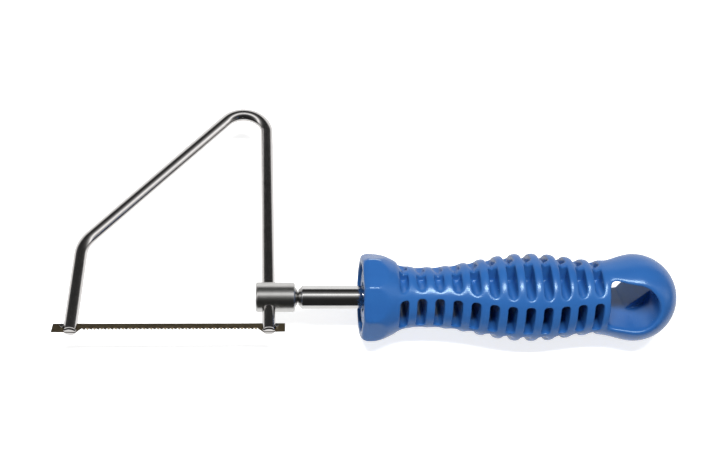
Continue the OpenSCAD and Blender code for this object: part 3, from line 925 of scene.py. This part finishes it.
# %% [markdown]
# A middle row of windows runs between two webs. Outside the webs are pockets, which a plate at the mould's
# parting plane closes in the middle. The eye is a D whose far half has a filled corner. In front, a
# ring-shaped recess leaves a boss, and the boss has a bore in which the spindle's shoulder sits.

# %% Windows, eye and front
def windows(tree, size, at):
    m_away = field(tree, "ABSOLUTE", at.m)
    past_u = field(tree, "ADD", ("SUBTRACT", ("ABSOLUTE", at.u), at.half_window), size["Window corner"])
    past_m = field(tree, "ADD", ("SUBTRACT", m_away, at.half_gap), size["Window corner"])
    outer = length(tree, field(tree, "MAXIMUM", past_u, 0.0), field(tree, "MAXIMUM", past_m, 0.0))
    central = field(tree, "ADD", ("SUBTRACT", outer, size["Window corner"]),
                    ("MINIMUM", ("MAXIMUM", past_u, past_m), 0.0))
    web_out = ("ADD", at.half_gap, size["Web thickness"])
    short = field(tree, "MAXIMUM", ("SUBTRACT", ("ADD", web_out, at.half_window), m_away), 0.0)
    pocket = field(tree, "SUBTRACT", length(tree, at.u, short), at.half_window)
    plate = field(tree, "SUBTRACT", ("MULTIPLY", size["Plate"], 0.5), ("ABSOLUTE", at.n))
    return field(tree, "MINIMUM", central, soft_max(tree, pocket, plate, PLATE_BLEND))


def hanging_eye(tree, size, at):
    eye_x = field(tree, "SUBTRACT", at.x, size["Eye front"])
    eye_m = field(tree, "SUBTRACT", at.m, size["Eye offset"])
    eye_r = field(tree, "MULTIPLY", size["Eye width"], 0.5)
    round_x = field(tree, "MAXIMUM", ("SUBTRACT", eye_x, ("SUBTRACT", size["Eye length"], eye_r)), 0.0)
    eye = field(tree, "SUBTRACT", length(tree, round_x, eye_m), eye_r)
    eye = soft_max(tree, eye, field(tree, "MULTIPLY", eye_x, -1.0), EYE_FRONT_BLEND)
    slant = ("MULTIPLY", ("SUBTRACT", ("SUBTRACT", eye_x, size["Eye length"]), eye_m), cos(radians(45)))
    filled = field(tree, "MINIMUM", slant, ("MULTIPLY", at.n, -1.0))
    return soft_max(tree, eye, filled, EYE_FILL_BLEND)


def front_recess(tree, size, at):
    inside = field(tree, "SUBTRACT", at.r, size["Recess radius"])
    mouth = ("MAXIMUM", inside, ("SUBTRACT", at.x, size["Boss drop"]))
    ring = ("MAXIMUM", inside, ("SUBTRACT", size["Boss radius"], at.r))
    ring = ("MAXIMUM", ring, ("SUBTRACT", at.x, size["Recess depth"]))
    bore = ("MAXIMUM", ("SUBTRACT", at.r, size["Bore radius"]), ("SUBTRACT", at.x, size["Bore depth"]))
    return field(tree, "MINIMUM", ("MINIMUM", mouth, ring), bore)


# %% [markdown]
# A volume is filled with the field's value, and a mesh is drawn where the value is zero. The same field can
# be read on that mesh too, so each point is moved twice more along its normal by what is left over, which
# takes the stair steps of the voxels out of the surface.

# %% Handle from field to mesh
def handle_field(tree, size):
    """How far a point is outside the plastic, in mm."""
    at = handle_places(tree, size)
    body = field(tree, "ADD", turned_body(tree, size, at), rib_crown(tree, size, at))
    body = cut_out(tree, body, at.x, RIM_BLEND)
    body = soft_max(tree, body, flange_flats(tree, size, at), FLAT_BLEND)
    body = cut_out(tree, body, windows(tree, size, at), size["Lip"])
    body = cut_out(tree, body, hanging_eye(tree, size, at), size["Eye lip"])
    return cut_out(tree, body, front_recess(tree, size, at), FRONT_BLEND)


def handle_tree():
    tree, size = sized_tree("handle_field", HANDLE)
    body = handle_field(tree, size)
    span = field(tree, "ADD", size["Length"], 2 * FIELD_MARGIN)
    low_x = field(tree, "SUBTRACT", size["Rim"], FIELD_MARGIN)
    low = add(tree, "ShaderNodeCombineXYZ", {0: low_x, 1: -HANDLE_REACH, 2: -HANDLE_REACH})
    high = add(tree, "ShaderNodeCombineXYZ", {0: ("ADD", low_x, span), 1: HANDLE_REACH, 2: HANDLE_REACH})
    along = field(tree, "CEIL", ("DIVIDE", span, size["Voxel"]))
    across = field(tree, "CEIL", ("DIVIDE", 2 * HANDLE_REACH, size["Voxel"]))
    cloud = add(tree, "GeometryNodeVolumeCube", {
        "Density": ("MULTIPLY", body, -1.0), "Background": -1.0, "Min": low.outputs[0],
        "Max": high.outputs[0], "Resolution X": along, "Resolution Y": across, "Resolution Z": across})
    settled = add(tree, "GeometryNodeVolumeToMesh", {"Volume": cloud.outputs[0], "Threshold": 0.0})
    normal = add(tree, "GeometryNodeInputNormal").outputs[0]
    left_over = ("MULTIPLY", body, -SETTLE_SHARE)
    shift = add(tree, "ShaderNodeVectorMath", {0: normal, "Scale": left_over}, operation="SCALE")
    for _ in range(SETTLE_STEPS):
        settled = add(tree, "GeometryNodeSetPosition", {"Geometry": settled.outputs[0],
                                                        "Offset": shift.outputs[0]})
    close_tree(tree, settled.outputs[0], PLASTIC)
    return tree


handle_mesh = grow(handle_tree(), HANDLE)
print("handle points:", len(handle_mesh.vertices))

# %% [markdown]
# The voxels are small, so the mesh is heavier than it needs to be, and a Decimate modifier thins it.

# %% Thin the handle
HANDLE_TRIANGLES = 190000


def thinned(mesh, target):
    """Collapses edges until about this many triangles are left."""
    carrier = bpy.data.objects.new("carrier", mesh)
    bpy.context.scene.collection.objects.link(carrier)
    modifier = carrier.modifiers.new("thin", "DECIMATE")
    modifier.ratio = min(1.0, target / sum(len(face.vertices) - 2 for face in mesh.polygons))
    depsgraph = bpy.context.evaluated_depsgraph_get()
    result = bpy.data.meshes.new_from_object(carrier.evaluated_get(depsgraph))
    bpy.data.objects.remove(carrier)
    return result


show("moulded_handle", [thinned(handle_mesh, HANDLE_TRIANGLES)], PLASTIC, "grip", "blue_plastic", "handle")

# %% [markdown]
# ## The flag
# A photographer keeps a lamp off polished steel with a flag, because the steel would only show a hard glare.
# Light linking is Blender's flag: the lamp leaves out the bright metal pieces, which mirror the drawn studio
# instead. The blade is dull enough to stay in the lamp's light.

# %% Flag the lamp off the steel
METALS = {NICKEL, TURNED, POLISHED, PINS, BRASS}
shaded = bpy.data.collections.new("flagged_off")
for piece in bpy.context.scene.objects:
    if piece.type == "MESH" and METALS & set(piece.data.materials):
        shaded.objects.link(piece)
overhead.light_linking.receiver_collection = shaded
for item in shaded.collection_objects:
    item.light_linking.link_state = "EXCLUDE"

# %% [markdown]
# ## The dressed saw's size
# How much the dressed saw's box has grown past the imported model's box is printed, to show that they agree.

# %% Sizes and finish
shown_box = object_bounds()
grown = (shown_box[1] - shown_box[0]) - (cad_box[1] - cad_box[0])
print("grown by, mm:", [round(value / MM, 2) for value in grown])
